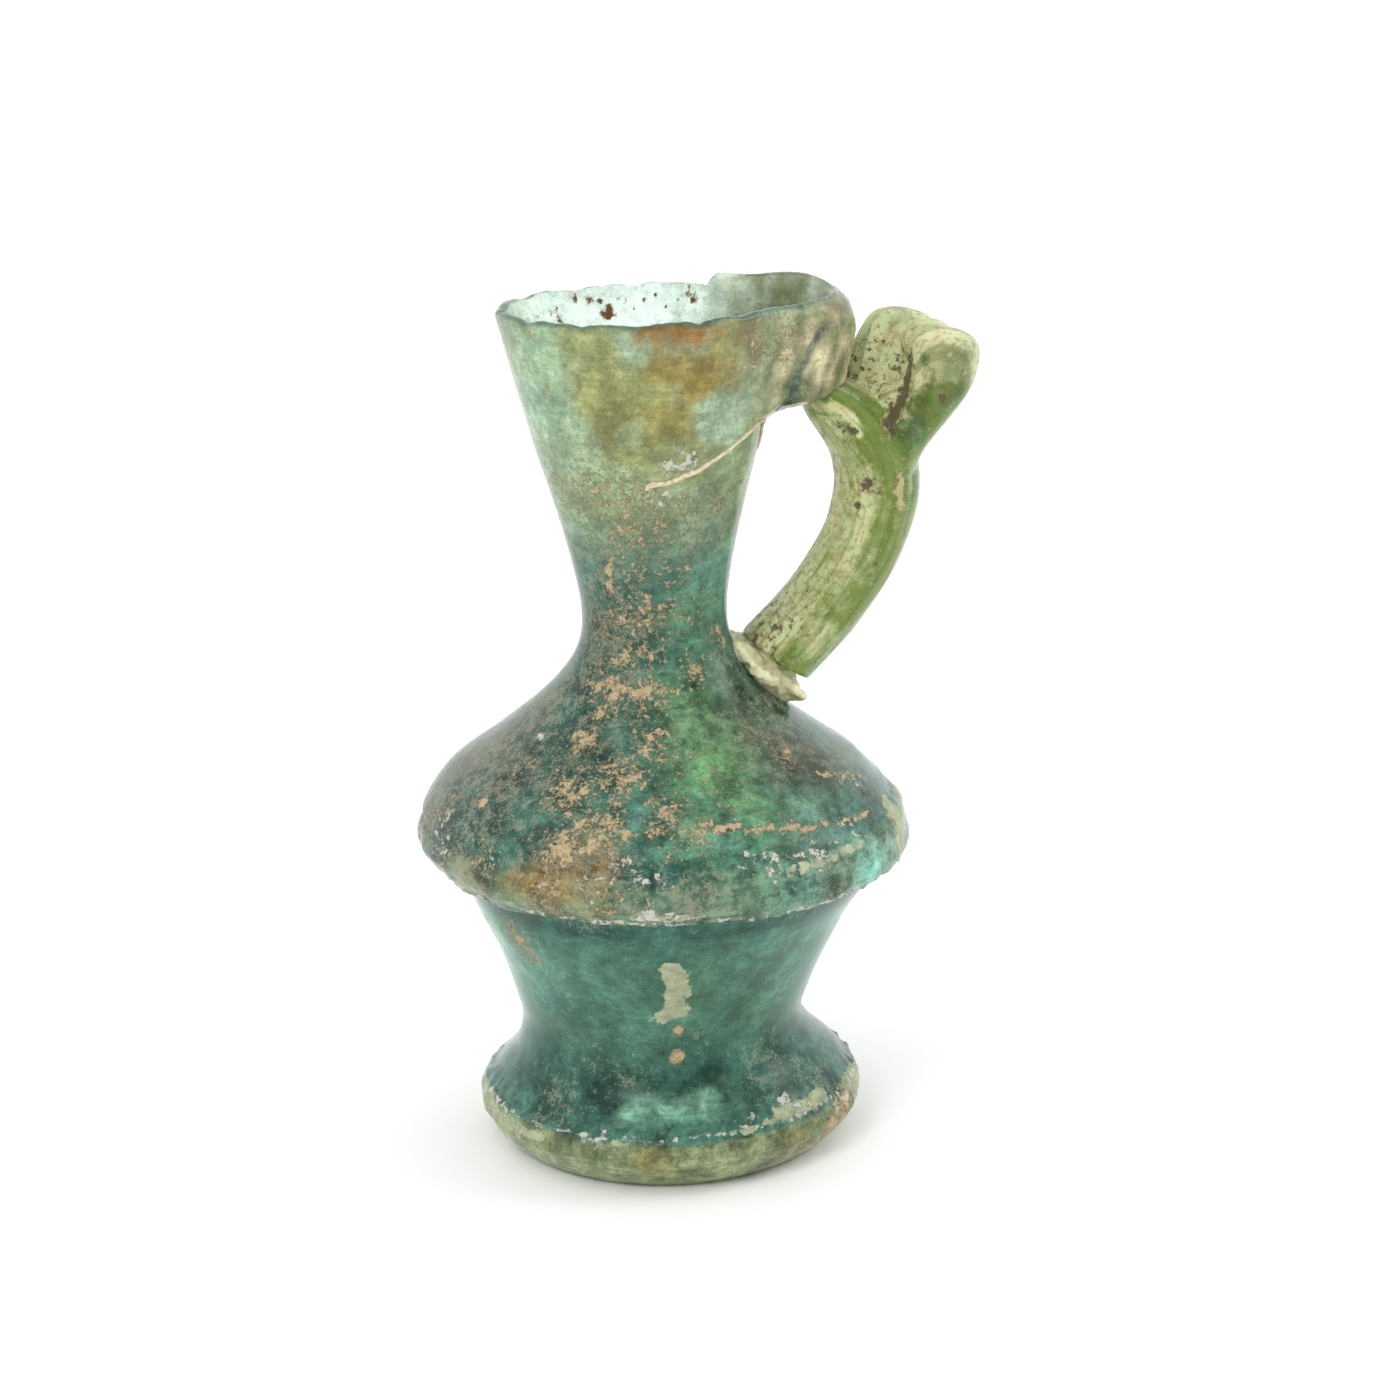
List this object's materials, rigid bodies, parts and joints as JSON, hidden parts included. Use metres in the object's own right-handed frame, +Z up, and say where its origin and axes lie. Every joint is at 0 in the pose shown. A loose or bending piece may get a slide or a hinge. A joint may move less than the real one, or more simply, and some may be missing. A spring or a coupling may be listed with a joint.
{
  "type": "roman glass bottle",
  "caption": "Small free-blown ancient glass jug with a funnel neck, a folded collar round the body, a splayed foot and a thick applied handle with a pinched thumb rest.",
  "frame": {"origin": "middle of the bounding box seen from above, on the surface that the foot rests on", "axes": "+Z up along the neck, +X towards the handle, +Y away from the side that the picture shows"},
  "size_m": [0.075, 0.065, 0.1139],
  "materials": {
    "blue_green_glass": "weathered, with a thin earthy crust and pitting",
    "pale_green_glass": "fire-polished, lightly weathered",
    "old_adhesive": "yellowed, waxy"
  },
  "bodies": {
    "root": {"vessel": "blue_green_glass", "handle": "pale_green_glass", "adhesive": "old_adhesive"}
  },
  "joints": []
}
